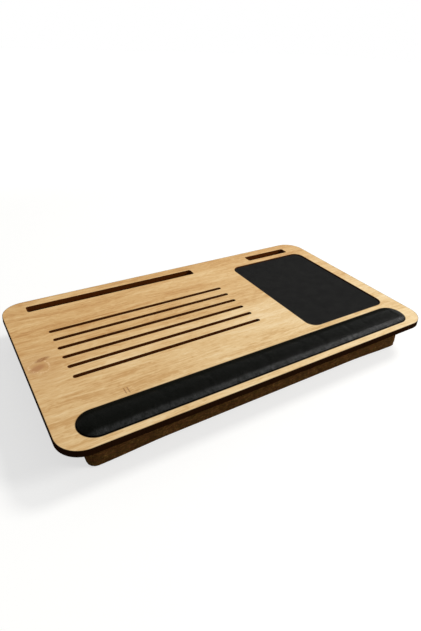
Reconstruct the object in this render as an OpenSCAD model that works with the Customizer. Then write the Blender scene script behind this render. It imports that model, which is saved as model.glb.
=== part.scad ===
// Cushioned lap desk: a two-layer board with an inset mouse pad, a wrist rest, a long and a short holding
// slot and ventilation slots, standing on a zipped foam cushion that hook-and-loop strips hold on.
// Millimetres. The origin is on the floor under the middle of the board; +X right, +Y back, +Z up.

/* [Board] */
// Width of the board, left to right
board_w = 600; // [570:1:680]
// Depth of the board, front to back
board_d = 348; // [330:1:400]
// Radius of the board's corners
board_corner_r = 34; // [10:1:40]
// Thickness of the oak-faced upper layer
top_panel_t = 4; // [3:0.5:8]
// Thickness of the lower layer
base_panel_t = 5; // [3:0.5:10]

/* [Holding slots] */
// Width of both slots, front to back
slot_w = 17.5; // [8:0.5:20]
// Wood left behind the slots, up to the board's back edge
slot_back_margin = 18; // [12:1:26]
// Radius in the slots' corners
slot_corner_r = 3.5; // [1:0.5:3.5]
// Length of the long slot
long_slot_l = 300; // [200:5:330]
// Distance of the long slot from the board's left edge
long_slot_left = 37; // [25:1:60]
// Length of the short slot
short_slot_l = 95.5; // [75:0.5:150]
// Distance of the short slot from the board's right edge
short_slot_right = 41.5; // [30:0.5:60]

/* [Ventilation slots] */
// Number of ventilation slots
vent_count = 6; // [1:1:6]
// Width of each ventilation slot
vent_w = 6.8; // [5:0.2:10]
// Length of each ventilation slot
vent_l = 300; // [100:5:320]
// Distance from one ventilation slot to the next
vent_pitch = 23.3; // [16:0.1:24]
// Distance of the ventilation slots from the board's left edge
vent_left = 51; // [35:1:60]
// Middle of the front ventilation slot, from the board's front edge
vent_front = 126.2; // [110:0.2:130]

/* [Mouse pad] */
// Width of the well that the mouse pad lies in
pad_well_w = 164.5; // [120:0.5:170]
// Wood left between that well and the short slot behind it
pad_back_margin = 12.8; // [8:0.2:40]
// Radius of the well's corners
pad_well_r = 17; // [5:1:30]
// Wood left to the right of the well
pad_right_margin = 24; // [15:1:40]
// Wood in front of the well, up to the board's front edge
pad_front_margin = 69.2; // [66:0.2:74]
// Thickness of the pad's foam rubber
pad_rubber_t = 1.6; // [1:0.1:2.2]
// Thickness of the pad's cloth face
pad_cloth_t = 0.5; // [0.3:0.1:0.7]
// Gap all round the mouse pad
pad_gap = 0.4; // [0.2:0.1:1]

/* [Wrist rest] */
// Width of the well that the wrist rest lies in, front to back
rest_well_w = 47; // [40:0.5:49]
// Wood left in front of that well
rest_front_margin = 11.6; // [8:0.2:16]
// Wood left to the left of that well
rest_left_margin = 27; // [15:1:60]
// Wood left to the right of that well
rest_right_margin = 25; // [15:1:60]
// Gap all round the wrist rest
rest_gap = 0.4; // [0.2:0.1:1]
// Height of the wrist rest's rim over the board's face
rest_rim_h = 0.8; // [0.2:0.1:2]
// Height of the crown over the rim
rest_crown = 5.7; // [3:0.1:9]
// Thickness of the cover
rest_cover_t = 0.8; // [0.6:0.1:1.2]
// Thickness of the backing board
rest_board_t = 1.5; // [1:0.1:2]

/* [Cushion] */
// How far the board overhangs the cushion's short sides at their fullest
side_overhang = 34; // [20:0.5:50]
// How far the board overhangs the cushion's front at its fullest
front_overhang = 21; // [10:0.5:30]
// How far the board overhangs the cushion's back at its fullest
back_overhang = 10; // [8:0.5:30]
// Height of the cushion, from the floor to its top cloth
cushion_h = 44; // [40:1:60]
// Radius of the cushion's upright corners
cushion_corner_r = 12; // [9:1:18]
// How far the sides pull in between the corners
draw_in = 3; // [1:0.5:6]
// Length over which the short sides pull in, from each corner
side_run = 96; // [60:1:120]
// How far the upper seam lies inside the fullest line
top_seam_in = 2; // [1:0.5:4]
// How far the lower seam lies inside the fullest line
base_seam_in = 1.5; // [0.5:0.5:4]
// How far the base swells below its seam
base_crown = 2; // [1:0.5:3]
// Width of the swelling, from the seam to the flat of the base
crown_run = 60; // [40:5:80]
// Thickness of the cushion's cloth
cloth_t = 1; // [0.6:0.1:1.4]
// Room between the cloth sides and the foam block
foam_gap = 3; // [2.8:0.1:5]

/* [Zip] */
// Length of the rows of teeth
zip_l = 300; // [200:5:320]
// Straight stretch of the cushion's back beyond each end of the teeth
zip_margin = 10.5; // [6:0.5:20]
// Width of the gap between the cloth strips, where the teeth show
zip_gap = 9; // [8.6:0.1:12]
// Width of one tape
zip_tape_w = 11; // [8:0.5:11]
// Thickness of the tapes
zip_tape_t = 0.5; // [0.3:0.1:0.6]
// Width of one row of teeth
tooth_w = 2; // [1.6:0.1:2.2]
// Height of the teeth over the tapes
tooth_h = 1.6; // [1.2:0.1:2]
// Slit between the rows, where the slider's post runs
zip_slit = 1.4; // [1.2:0.1:1.8]
// Length of the slider
slider_l = 10; // [8:0.5:14]
// Length of the pull tab, from its bar
pull_l = 24; // [18:1:30]
// Width of the pull tab
pull_w = 6; // [5:0.5:8]

/* [Fastening strips] */
// Length of each hook-and-loop strip
strip_l = 100; // [60:5:120]
// Width of each strip
strip_w = 20; // [15:1:22]
// Thickness of the hook half and of the loop half
strip_t = 1; // [0.8:0.1:1.5]
// Distance of the outer strips' ends from the cushion's short sides
strip_side_margin = 38.5; // [20:0.5:70]
// Distance of the front row of strips from the cushion's front
strip_front_margin = 25; // [20:1:45]
// Distance of the back row of strips from the cushion's back
strip_back_margin = 41; // [39:1:50]

/* [Hidden] */

// How far a cut runs past the face that it opens
cut_past = 1;
// Segments of round parts and of the wrist rest's wide arc
round_fn = 96;
dome_fn = 240;

// Heights of the layers over the floor
base_z = cushion_h + 2 * strip_t;
top_z = base_z + base_panel_t;
deck_z = top_z + top_panel_t;

// Slots: the middle of each, in the board's plane
slot_y = board_d / 2 - slot_back_margin - slot_w / 2;
long_slot_x = long_slot_left + long_slot_l / 2 - board_w / 2;
short_slot_x = board_w / 2 - short_slot_right - short_slot_l / 2;
vent_x = vent_left + vent_l / 2 - board_w / 2;
vent_y0 = vent_front - board_d / 2;

// Wells: the depth of the pad's, and the middle of each
pad_well_d = board_d - pad_front_margin - pad_back_margin - slot_w - slot_back_margin;
pad_x = board_w / 2 - pad_right_margin - pad_well_w / 2;
pad_y = pad_front_margin + pad_well_d / 2 - board_d / 2;
rest_well_l = board_w - rest_left_margin - rest_right_margin;
rest_x = rest_left_margin + rest_well_l / 2 - board_w / 2;
rest_y = rest_front_margin + rest_well_w / 2 - board_d / 2;

// Wrist rest: half widths of the cover outside and inside, and the room left inside it
rest_half = rest_well_w / 2 - rest_gap;
rest_inner_half = rest_half - rest_cover_t;
rest_slack = 0.3;
rest_rim_z = deck_z + rest_rim_h;
rest_crown_z = rest_rim_z + rest_crown;
// Half the length of the middle line that the wrist rest's round ends turn about
rest_spine = rest_well_l / 2 - rest_well_w / 2;

// Cushion: its length at its fullest, its front and back lines there, and its depth and middle
cushion_w = board_w - 2 * side_overhang;
cushion_front_y = front_overhang - board_d / 2;
cushion_back_y = board_d / 2 - back_overhang;
cushion_d = cushion_back_y - cushion_front_y;
cushion_y = (cushion_front_y + cushion_back_y) / 2;
// Heights of its seams, and of the upright stretch of its sides, which holds the zip
base_seam_z = base_crown + cloth_t;
top_seam_z = cushion_h - cloth_t;
band_mid_z = (base_seam_z + top_seam_z) / 2;
tape_margin = 0.3;
band_half = zip_slit / 2 + zip_tape_w + tape_margin;
band_low_z = band_mid_z - band_half;
band_high_z = band_mid_z + band_half;
// The base is cut flat where it stands, this deep into its swelling
stand_cut = 0.5;
flat_in = crown_run * (1 - sqrt(stand_cut / (base_crown + stand_cut)));
// Half the length of the zip's mouth in the band, in the straight middle of the cushion's back
zip_mouth = zip_l / 2 + zip_margin;
// Half the length of the straight middle of the short sides
side_mid = cushion_d / 2 - cushion_corner_r - side_run;
// Points along the outline: steps round each corner and along each drawn-in stretch
corner_steps = 5;
draw_steps = 6;
// Least radius of the outline's corners, far inside
least_corner_r = 2;
// Where the points of the band's turns lie between the seam and the upright stretch
turn_at = [0, 0.25, 0.55, 1];
// Outer face of the back, at its straight middle
back_y = cushion_back_y - draw_in;

// Zip: heights across the rows, and the planes in y from the tapes outwards
zip_z = band_mid_z;
slit_half = zip_slit / 2;
teeth_half = slit_half + tooth_w;
tape_out_y = back_y - cloth_t;
tape_in_y = tape_out_y - zip_tape_t;
teeth_y = tape_out_y + tooth_h;
// Running clearance of the slider, its plates and its flanges
run_gap = 0.3;
plate_t = 1.1;
inner_plate_t = 0.9;
flange_t = 0.7;
flange_half = teeth_half + run_gap + flange_t;
plate_y = teeth_y + run_gap;
lug_y = plate_y + plate_t;
// Stops at the ends of the teeth, a little higher than the teeth
stop_l = 2.5;
stop_y = teeth_y + run_gap;
// Where the slider stands at rest: at the closed end, clear of its stop
slider_x = zip_l / 2 - slider_l / 2 - 2 * run_gap;
// Post that joins the slider's plates, near its leading end
post_w = zip_slit - 2 * run_gap;
post_l = 3;
post_inset = 1;
// Lug on the slider with the eye for the pull tab's bar
eye_r = 1;
eye_gap = 0.1;
bar_r = eye_r - eye_gap;
lug_wall = 1;
lug_r = eye_r + lug_wall;
lug_w = 1.6;
eye_y = lug_y + lug_r;
// Pull tab: two arms from the bar past the lug to a plate, with a hole near its far end
arm_t = 0.9;
arm_half = lug_w / 2 + run_gap + arm_t;
pull_t = 1;
window_gap = 2.4;
window_l = lug_r + window_gap;
pull_corner_r = 1.5;
pull_hole_r = 1.2;
pull_hole_wall = 1.8;

// ---- plane shapes ----

// Rectangle with round corners, from squares and circles
module rounded_rect(w, d, r) {
    square([w - 2 * r, d], center = true);
    square([w, d - 2 * r], center = true);
    for (sx = [-1, 1], sy = [-1, 1])
        translate([sx * (w / 2 - r), sy * (d / 2 - r)]) circle(r, $fn = round_fn);
}

// Long hole with full round ends
module stadium(l, w) {
    square([l - w, w], center = true);
    for (sx = [-1, 1])
        translate([sx * (l - w) / 2, 0]) circle(w / 2, $fn = round_fn);
}

module board_outline() rounded_rect(board_w, board_d, board_corner_r);

// Everything that is cut through both layers
module through_slots() {
    translate([long_slot_x, slot_y]) rounded_rect(long_slot_l, slot_w, slot_corner_r);
    translate([short_slot_x, slot_y]) rounded_rect(short_slot_l, slot_w, slot_corner_r);
    for (i = [0 : vent_count - 1])
        translate([vent_x, vent_y0 + i * vent_pitch]) stadium(vent_l, vent_w);
}

// ---- board ----

module top_panel() {
    color("burlywood") difference() {
        translate([0, 0, top_z]) linear_extrude(top_panel_t) board_outline();
        translate([0, 0, top_z - cut_past]) linear_extrude(top_panel_t + 2 * cut_past) {
            through_slots();
            translate([pad_x, pad_y]) rounded_rect(pad_well_w, pad_well_d, pad_well_r);
            translate([rest_x, rest_y]) stadium(rest_well_l, rest_well_w);
        }
    }
}

module base_panel() {
    color("saddlebrown") difference() {
        translate([0, 0, base_z]) linear_extrude(base_panel_t) board_outline();
        translate([0, 0, base_z - cut_past]) linear_extrude(base_panel_t + 2 * cut_past) through_slots();
    }
}

// ---- mouse pad ----

module pad_layer(z, t) {
    translate([pad_x, pad_y, z]) linear_extrude(t)
        rounded_rect(pad_well_w - 2 * pad_gap, pad_well_d - 2 * pad_gap, pad_well_r - pad_gap);
}

module mouse_pad_base() {
    color("dimgray") pad_layer(top_z, pad_rubber_t);
}

module mouse_pad_cloth() {
    color([0.13, 0.13, 0.14]) pad_layer(top_z + pad_rubber_t, pad_cloth_t);
}

// ---- wrist rest ----

// Half of the cross-section: upright to the rim, then an arc up to the crown
module rest_half_section(half, foot_z, rim_z, crown_z) {
    rise = crown_z - rim_z;
    arc_r = (half * half + rise * rise) / (2 * rise);
    intersection() {
        translate([0, crown_z - arc_r]) circle(arc_r, $fn = dome_fn);
        translate([0, foot_z]) square([half, crown_z - foot_z + cut_past]);
    }
}

// Crowned bar with round, domed ends
module rest_form(half, foot_z, rim_z, crown_z) {
    translate([rest_x, rest_y, 0]) {
        for (side = [0, 1]) mirror([side, 0, 0])
            translate([rest_spine, 0, 0]) rotate([0, 0, -90])
                rotate_extrude(angle = 180, $fn = round_fn)
                    rest_half_section(half, foot_z, rim_z, crown_z);
        translate([-rest_spine, 0, 0]) rotate([90, 0, 90]) linear_extrude(2 * rest_spine) {
            rest_half_section(half, foot_z, rim_z, crown_z);
            mirror([1, 0]) rest_half_section(half, foot_z, rim_z, crown_z);
        }
    }
}

module wrist_rest_board() {
    color("tan") translate([rest_x, rest_y, top_z]) linear_extrude(rest_board_t)
        stadium(2 * (rest_spine + rest_inner_half - rest_slack), 2 * (rest_inner_half - rest_slack));
}

module wrist_rest_foam() {
    color("khaki") rest_form(rest_inner_half - rest_slack, top_z + rest_board_t,
        rest_rim_z - rest_cover_t - rest_slack, rest_crown_z - rest_cover_t - rest_slack);
}

module wrist_rest_cover() {
    color([0.08, 0.08, 0.09]) difference() {
        rest_form(rest_half, top_z, rest_rim_z, rest_crown_z);
        rest_form(rest_inner_half, top_z - cut_past, rest_rim_z - rest_cover_t,
            rest_crown_z - rest_cover_t);
    }
}

// ---- cushion ----

// Eased step from 0 to 1
function ease(s) = s * s * (3 - 2 * s);

// One quarter of the outline, in the first quadrant of its own middle: up half of the right side, round
// the corner and along half of the back, drawn a distance `inset` inside the fullest line
function quarter(inset) =
    let (r = max(cushion_corner_r - inset, least_corner_r),
         cx = cushion_w / 2 - inset - r,
         cy = cushion_d / 2 - inset - r)
    concat(
        [for (k = [draw_steps : -1 : 1]) let (s = k / draw_steps)
            [cx + r - draw_in * ease(s), cy - (cy - side_mid) * s]],
        [for (k = [0 : corner_steps]) let (a = 90 * k / corner_steps) [cx + r * cos(a), cy + r * sin(a)]],
        [for (k = [1 : draw_steps]) let (s = k / draw_steps)
            [cx - (cx - zip_mouth) * s, cy + r - draw_in * ease(s)]]);

function flip(points, sx, sy) = [for (p = points) [sx * p[0], sy * p[1]]];
function reversed(list) = [for (k = [len(list) - 1 : -1 : 0]) list[k]];

// Closed outline, counter-clockwise, from the left end of the zip's mouth round the front to its right end
function outline(inset) =
    let (q = quarter(inset),
         whole = concat(reversed(flip(q, -1, 1)), flip(q, -1, -1), reversed(flip(q, 1, -1)), q))
    [for (p = whole) [p[0], p[1] + cushion_y]];

// Skin of quads, split into triangles, between rings of the same number of points
function skin(rings, count) =
    [for (j = [0 : rings - 2], i = [0 : count - 1])
        let (a = j * count + i, b = j * count + (i + 1) % count, c = a + count, d = b + count)
        each [[a, d, b], [a, c, d]]];

// Solid through a stack of closed outlines: each level is [how far inside the fullest line, height]
module stacked(levels) {
    rings = [for (l = levels) [for (p = outline(l[0])) [p[0], p[1], l[1]]]];
    count = len(rings[0]);
    last = len(levels) - 1;
    polyhedron(
        points = [for (ring = rings) each ring],
        faces = concat(
            [[for (i = [0 : count - 1]) i]],
            skin(len(levels), count),
            [[for (i = [count - 1 : -1 : 0]) last * count + i]]),
        convexity = 4);
}

// Height of the base's underside a distance `inset` inside the fullest line
function base_swell(inset) =
    let (s = 1 - min(1, max(0, inset - base_seam_in) / crown_run))
    max(0, (base_crown + stand_cut) * s * s - stand_cut);

// Where the base's rings lie, from the seam to the flat
base_rings = [for (s = [0, 0.16, 0.36, 0.62, 1]) base_seam_in + s * flat_in];

// Outer line of the side band, from the lower seam up: [how far inside, height]
band_outer = concat(
    [for (s = turn_at) [base_seam_in * (1 - s) * (1 - s), base_seam_z + (band_low_z - base_seam_z) * s]],
    [for (s = turn_at) [top_seam_in * s * s, band_high_z + (top_seam_z - band_high_z) * s]]);

// Closed cross-section of the band: up the outside and down the inside
band_section = concat(band_outer, [for (l = reversed(band_outer)) [l[0] + cloth_t, l[1]]]);

module cushion_foam() {
    foam_in = cloth_t + foam_gap;
    flat = base_seam_in + flat_in + foam_gap;
    color("lemonchiffon") stacked([
        [flat, cloth_t],
        [foam_in + base_seam_in, base_seam_z + cloth_t],
        [foam_in, band_low_z],
        [foam_in, band_high_z],
        [foam_in + top_seam_in, top_seam_z]]);
}

module cushion_top_cloth() {
    color([0.22, 0.15, 0.10]) translate([0, 0, top_seam_z]) linear_extrude(cloth_t)
        polygon(outline(top_seam_in));
}

module cushion_base_cloth() {
    color([0.20, 0.13, 0.09]) stacked(concat(
        [for (inset = reversed(base_rings)) [inset, base_swell(inset)]],
        [for (inset = base_rings) [inset, base_swell(inset) + cloth_t]]));
}

// The band runs from one end of the zip's mouth round the front to the other
module cushion_side_band() {
    rows = [for (l = band_section) outline(l[0])];
    count = len(rows[0]);
    depth = len(rows);
    points = [for (i = [0 : count - 1], j = [0 : depth - 1]) [each rows[j][i], band_section[j][1]]];
    color([0.24, 0.16, 0.11]) polyhedron(
        points = points,
        faces = concat(
            [[for (j = [depth - 1 : -1 : 0]) j]],
            [for (i = [0 : count - 2], j = [0 : depth - 1])
                let (a = i * depth + j, b = i * depth + (j + 1) % depth, c = a + depth, d = b + depth)
                each [[a, b, d], [a, d, c]]],
            [[for (j = [0 : depth - 1]) (count - 1) * depth + j]]),
        convexity = 6);
}

// Straight strip of the band across the zip's mouth, between two heights
module mouth_strip(low_z, high_z) {
    translate([-zip_mouth, back_y, 0]) rotate([90, 0, 90]) linear_extrude(2 * zip_mouth) intersection() {
        polygon([for (l = band_section) [-l[0], l[1]]]);
        translate([-cushion_h, low_z]) square([2 * cushion_h, high_z - low_z]);
    }
}

module zip_strip_upper() {
    color([0.24, 0.16, 0.11]) mouth_strip(zip_z + zip_gap / 2, top_seam_z);
}

module zip_strip_lower() {
    color([0.24, 0.16, 0.11]) mouth_strip(base_seam_z, zip_z - zip_gap / 2);
}

// ---- zip ----

// Box between two planes in each direction
module between(x, y, z) {
    translate([x[0], y[0], z[0]]) cube([x[1] - x[0], y[1] - y[0], z[1] - z[0]]);
}

// Same box above and below the zip's middle line
module both_rows(x, y, z) {
    translate([0, 0, zip_z]) for (side = [0, 1]) mirror([0, 0, side]) between(x, y, z);
}

module zip_tapes() {
    color([0.10, 0.08, 0.07])
        both_rows([-zip_mouth, zip_mouth], [tape_in_y, tape_out_y], [slit_half, slit_half + zip_tape_w]);
}

module zip_teeth() {
    color([0.14, 0.11, 0.09])
        both_rows([-zip_l / 2, zip_l / 2], [tape_out_y, teeth_y], [slit_half, teeth_half]);
}

module zip_end_stops() {
    end_x = zip_l / 2;
    color("silver") {
        both_rows([end_x, end_x + stop_l], [tape_out_y, stop_y], [slit_half, teeth_half]);
        translate([0, 0, zip_z])
            between([-end_x - stop_l, -end_x], [tape_out_y, stop_y], [-teeth_half, teeth_half]);
    }
}

module zip_slider() {
    half = slider_l / 2;
    inner = [tape_in_y - run_gap - inner_plate_t, tape_in_y - run_gap];
    wide = [-flange_half, flange_half];
    color("silver") translate([slider_x, 0, zip_z]) difference() {
        union() {
            between([-half, half], [plate_y, lug_y], wide);
            between([-half, half], inner, wide);
            for (side = [0, 1]) mirror([0, 0, side])
                between([-half, half], [tape_out_y + run_gap, plate_y], [flange_half - flange_t, flange_half]);
            between([half - post_inset - post_l, half - post_inset], [inner[0], lug_y], [-post_w, post_w] / 2);
            between([-lug_r, lug_r], [plate_y, eye_y], [-lug_w, lug_w] / 2);
            translate([0, eye_y, -lug_w / 2]) cylinder(r = lug_r, h = lug_w, $fn = round_fn);
        }
        translate([0, eye_y, -lug_w / 2 - cut_past])
            cylinder(r = eye_r, h = lug_w + 2 * cut_past, $fn = round_fn);
    }
}

module zip_pull() {
    tab_l = pull_l - window_l;
    arm_end = window_l + pull_corner_r;
    color("silver") translate([slider_x, eye_y, zip_z]) {
        translate([0, 0, -arm_half]) cylinder(r = bar_r, h = 2 * arm_half, $fn = round_fn);
        for (side = [0, 1]) mirror([0, 0, side])
            between([-arm_end, 0], [-pull_t, pull_t] / 2, [arm_half - arm_t, arm_half]);
        translate([-window_l - tab_l / 2, pull_t / 2, 0]) rotate([90, 0, 0]) linear_extrude(pull_t)
            difference() {
                rounded_rect(tab_l, pull_w, pull_corner_r);
                translate([-tab_l / 2 + pull_hole_wall + pull_hole_r, 0]) circle(pull_hole_r, $fn = round_fn);
            }
    }
}

// ---- fastening strips ----

module strips(z) {
    outer_x = cushion_w / 2 - strip_side_margin - strip_l / 2;
    front_y = cushion_front_y + strip_front_margin + strip_w / 2;
    rear_y = cushion_back_y - strip_back_margin - strip_w / 2;
    for (x = [-outer_x, 0, outer_x], y = [front_y, rear_y])
        translate([x, y, z]) linear_extrude(strip_t) square([strip_l, strip_w], center = true);
}

module hook_strips() {
    color("black") strips(base_z - strip_t);
}

module loop_strips() {
    color([0.2, 0.2, 0.2]) strips(cushion_h);
}

top_panel();
base_panel();
mouse_pad_base();
mouse_pad_cloth();
wrist_rest_board();
wrist_rest_foam();
wrist_rest_cover();
cushion_foam();
cushion_top_cloth();
cushion_side_band();
cushion_base_cloth();
zip_strip_upper();
zip_strip_lower();
zip_tapes();
zip_teeth();
zip_end_stops();
zip_slider();
zip_pull();
hook_strips();
loop_strips();
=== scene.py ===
"""Looks of a cushioned lap desk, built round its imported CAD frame. Metres; +X right, +Y back, +Z up."""

import math

import bmesh
import bpy
import numpy as np
from mathutils import Matrix, Vector, noise


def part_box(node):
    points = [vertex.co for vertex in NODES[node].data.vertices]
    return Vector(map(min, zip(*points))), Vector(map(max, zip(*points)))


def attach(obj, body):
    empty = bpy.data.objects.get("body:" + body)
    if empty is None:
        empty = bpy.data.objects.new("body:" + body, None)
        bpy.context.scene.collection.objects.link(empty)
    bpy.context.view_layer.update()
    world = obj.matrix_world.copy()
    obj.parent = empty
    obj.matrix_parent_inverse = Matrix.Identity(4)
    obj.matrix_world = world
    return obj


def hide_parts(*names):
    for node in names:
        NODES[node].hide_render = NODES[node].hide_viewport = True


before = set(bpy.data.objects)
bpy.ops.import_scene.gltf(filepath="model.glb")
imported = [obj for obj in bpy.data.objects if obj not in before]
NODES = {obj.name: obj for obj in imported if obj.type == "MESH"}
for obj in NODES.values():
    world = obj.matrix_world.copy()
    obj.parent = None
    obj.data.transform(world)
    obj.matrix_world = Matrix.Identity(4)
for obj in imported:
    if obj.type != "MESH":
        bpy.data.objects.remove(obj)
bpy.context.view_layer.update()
MM = 0.001
DESK, SLIDER, PULL = "lap_desk", "zip_slider", "zip_pull"


def box_of(node):
    """Lowest and highest corner of a CAD node."""
    return [Vector(corner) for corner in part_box(node)]


# -------------------- camera

# Fitted to the photograph: turn and dip of the view, its roll, where it stands, and its lens. The shift
# is the photograph's framing, which shows the lower part of the view
VIEW_TURN, VIEW_DIP, VIEW_ROLL = -0.57157, 0.43129, 0.04869
EYE = Vector((-0.377279, -0.568591, 0.470940))
LENS, SENSOR, NEAR_CLIP = 28.035, 36.0, 0.01
SHIFT_X, SHIFT_Y = -0.00463, -0.09509


def place_camera():
    flat = math.cos(VIEW_DIP)
    back = Vector((math.sin(VIEW_TURN) * flat, -math.cos(VIEW_TURN) * flat, math.sin(VIEW_DIP)))
    level = (-back).cross(Vector((0, 0, 1))).normalized()
    upright = level.cross(-back)
    right = level * math.cos(VIEW_ROLL) + upright * math.sin(VIEW_ROLL)
    up = upright * math.cos(VIEW_ROLL) - level * math.sin(VIEW_ROLL)
    data = bpy.data.cameras.new("camera")
    data.lens, data.sensor_width, data.sensor_fit = LENS, SENSOR, "AUTO"
    data.shift_x, data.shift_y, data.clip_start = SHIFT_X, SHIFT_Y, NEAR_CLIP
    camera = link("camera", data)
    camera.matrix_world = Matrix.Translation(EYE) @ Matrix((right, up, back)).transposed().to_4x4()
    bpy.context.scene.camera = camera


# -------------------- shader helpers


def paint(red, green, blue):
    """A display colour, 0 to 255, as the linear colour that a shader takes."""
    channels = [c / 255 for c in (red, green, blue)]
    return (*[c / 12.92 if c <= 0.04045 else ((c + 0.055) / 1.055) ** 2.4 for c in channels], 1.0)


def arithmetic(operation):
    """A method that puts a value, and what goes with it, through a Math node."""
    return lambda value, other=0.0: value.math(operation, value, other)


class Value:
    """What a node gives. Arithmetic on it, and its calls, add the nodes that work it out."""

    __add__ = __radd__ = arithmetic("ADD")
    __sub__ = arithmetic("SUBTRACT")
    __mul__ = __rmul__ = arithmetic("MULTIPLY")
    __truediv__ = arithmetic("DIVIDE")
    __pow__ = arithmetic("POWER")
    __abs__ = arithmetic("ABSOLUTE")
    __gt__ = arithmetic("GREATER_THAN")
    __lt__ = arithmetic("LESS_THAN")
    larger = arithmetic("MAXIMUM")
    sine = arithmetic("SINE")
    root = arithmetic("SQRT")
    exp = arithmetic("EXPONENT")

    def __init__(self, tree, socket):
        self.tree, self.socket = tree, socket

    def __rsub__(self, other):
        return self.math("SUBTRACT", other, self)

    def math(self, operation, a, b):
        return self.tree.add("Math", {0: a, 1: b}, operation=operation)

    def pick(self, low, high):
        """low where this is 0, high where it is 1."""
        return self * (high - low) + low

    def parts(self):
        node = self.tree.add("SeparateXYZ", {0: self}).socket.node
        return [Value(self.tree, output) for output in node.outputs]

    def length(self):
        return self.tree.add("VectorMath", {0: self}, "Value", operation="LENGTH")

    def at_scale(self, scale):
        """This place and a scale for a texture there; a scale of three numbers goes into the place."""
        if isinstance(scale, tuple):
            return {"Vector": self.tree.add("VectorMath", {0: self, 1: scale}, operation="MULTIPLY"),
                    "Scale": 1.0}
        return {"Vector": self, "Scale": scale}

    def noise(self, scale=1.0, detail=2.0, rough=0.5, distortion=0.0):
        inputs = {"Detail": detail, "Roughness": rough, "Distortion": distortion}
        return self.tree.add("TexNoise", self.at_scale(scale) | inputs)

    def cells(self, scale, feature="F1", random=1.0):
        return self.tree.add("TexVoronoi", self.at_scale(scale) | {"Randomness": random}, "Distance",
                             feature=feature)

    def span(self, low, high, to_low=0.0, to_high=1.0):
        """Where the value lies between low and high, eased and held at both ends."""
        inputs = {"Value": self, "From Min": low, "From Max": high, "To Min": to_low, "To Max": to_high}
        return self.tree.add("MapRange", inputs, interpolation_type="SMOOTHSTEP")

    def mixed(self, factor, other, mode="MIX"):
        """This where factor is 0, the other colour or value where it is 1."""
        other = paint(*other) if isinstance(other, tuple) else other
        return self.tree.add("Mix", {0: factor, 6: self, 7: other}, 2, data_type="RGBA", blend_type=mode)

    def ramp(self, *stops):
        """Colours along the value; each stop is its position and its display colour."""
        colour = self.tree.add("ValToRGB", {0: self})
        held = colour.socket.node.color_ramp.elements
        while len(held) < len(stops):
            held.new(0.5)
        for stop, (position, *display) in zip(held, stops):
            stop.position, stop.color = position, paint(*display)
        return colour

    def bump(self, distance, strength):
        return self.tree.add("Bump", {"Height": self, "Distance": distance, "Strength": strength})


class Tree:
    """The node tree of a material or world."""

    def __init__(self, owner):
        owner.use_nodes = True
        self.nodes, self.links = owner.node_tree.nodes, owner.node_tree.links

    def put(self, socket, value):
        if isinstance(value, Value):
            self.links.new(value.socket, socket)
        else:
            socket.default_value = value

    def add(self, kind, inputs, output=0, **settings):
        """Adds a node and gives one of its outputs; sockets go by their names or places."""
        node = self.nodes.new("ShaderNode" + kind)
        for key, value in settings.items():
            setattr(node, key, value)
        for key, value in inputs.items():
            self.put(node.inputs[key], value)
        return Value(self, node.outputs[output])

    def join(self, x, y):
        return self.add("CombineXYZ", {0: x, 1: y})


class Finish(Tree):
    """A material, and the place on its piece in the piece's own coordinates, in metres."""

    def __init__(self, name, **settings):
        self.material = bpy.data.materials.new(name)
        super().__init__(self.material)
        self.set(**settings)
        self.place = self.add("TexCoord", {}, "Object")

    def facing(self):
        """The three parts of the way that the surface looks."""
        return self.add("TexCoord", {}, "Normal").parts()

    def set(self, **values):
        surface = self.nodes["Principled BSDF"]
        for key, value in values.items():
            self.put(surface.inputs[key.replace("_", " ")], value)
        return self.material


# -------------------- board materials

BOARD_LOW, BOARD_HIGH = box_of("top_panel")
REST_LOW, REST_HIGH = box_of("wrist_rest_cover")
PAD_LOW, PAD_HIGH = box_of("mouse_pad_cloth")
DECK_Z = BOARD_HIGH.z
REST_MID_Y, REST_HALF = (REST_LOW.y + REST_HIGH.y) / 2, (REST_HIGH.y - REST_LOW.y) / 2
BOARD_CORNER_R, PAD_CORNER_R = 34 * MM, 16.6 * MM
# The upper face is scorched along its outer edge, and round its two wells it is darkened by scorch and by
# painted shade of the gap there, fading over these widths
SCORCH_NEAR, SCORCH_FAR = 0.2 * MM, 0.9 * MM
WELL_NEAR, WELL_FAR = 0.7 * MM, 1.4 * MM
# Near black of the scorch, and of the painted shade round the wells
SCORCH_AND_SHADE_BLACK = (22, 11, 5)
# A face looks up or down where its normal's upright part is larger than this, on the boards and on cloth
LEVEL_BOARD, LEVEL_CLOTH = 0.5, 0.7


def inside_outline(x, y, low=BOARD_LOW, high=BOARD_HIGH, corner_r=BOARD_CORNER_R):
    """How far a point lies inside a rounded rectangle, the board's own unless another is given."""
    gaps = []
    for value, start, end in ((x, low.x, high.x), (y, low.y, high.y)):
        off_middle = abs(value - (start + end) / 2)
        gaps.append((off_middle - ((end - start) / 2 - corner_r)).larger(0.0))
    return corner_r - x.tree.join(*gaps).length()


def well_scorch_and_shade(x, y):
    """1 beside the two wells, 0 a little way off: scorch and painted shade of the gap at each well."""
    wells = ((REST_LOW, REST_HIGH, REST_HALF), (PAD_LOW, PAD_HIGH, PAD_CORNER_R))
    rest, pad = (inside_outline(x, y, *well).span(-WELL_FAR, -WELL_NEAR) for well in wells)
    return rest.larger(pad)


def burnt_edge(shader):
    """Laser-cut edge: near black outside, dark brown inside the slots, with fine upright streaks."""
    x, y, _ = shader.place.parts()
    streaks = shader.place.noise((900, 900, 60), detail=4, rough=0.7)
    layers = shader.place.noise((25, 25, 1400))
    tone = layers * 0.4 + streaks * 0.6
    slots = tone.ramp((0.3, 66, 31, 9), (0.7, 110, 56, 18))
    outside = tone.ramp((0.3, 26, 13, 6), (0.7, 46, 25, 12))
    return slots.mixed(inside_outline(x, y) < 0.5 * MM, outside), streaks


def facing_up(shader):
    """1 on faces that look up or down, 0 on upright edges."""
    return abs(shader.facing()[2]) > LEVEL_BOARD


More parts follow.
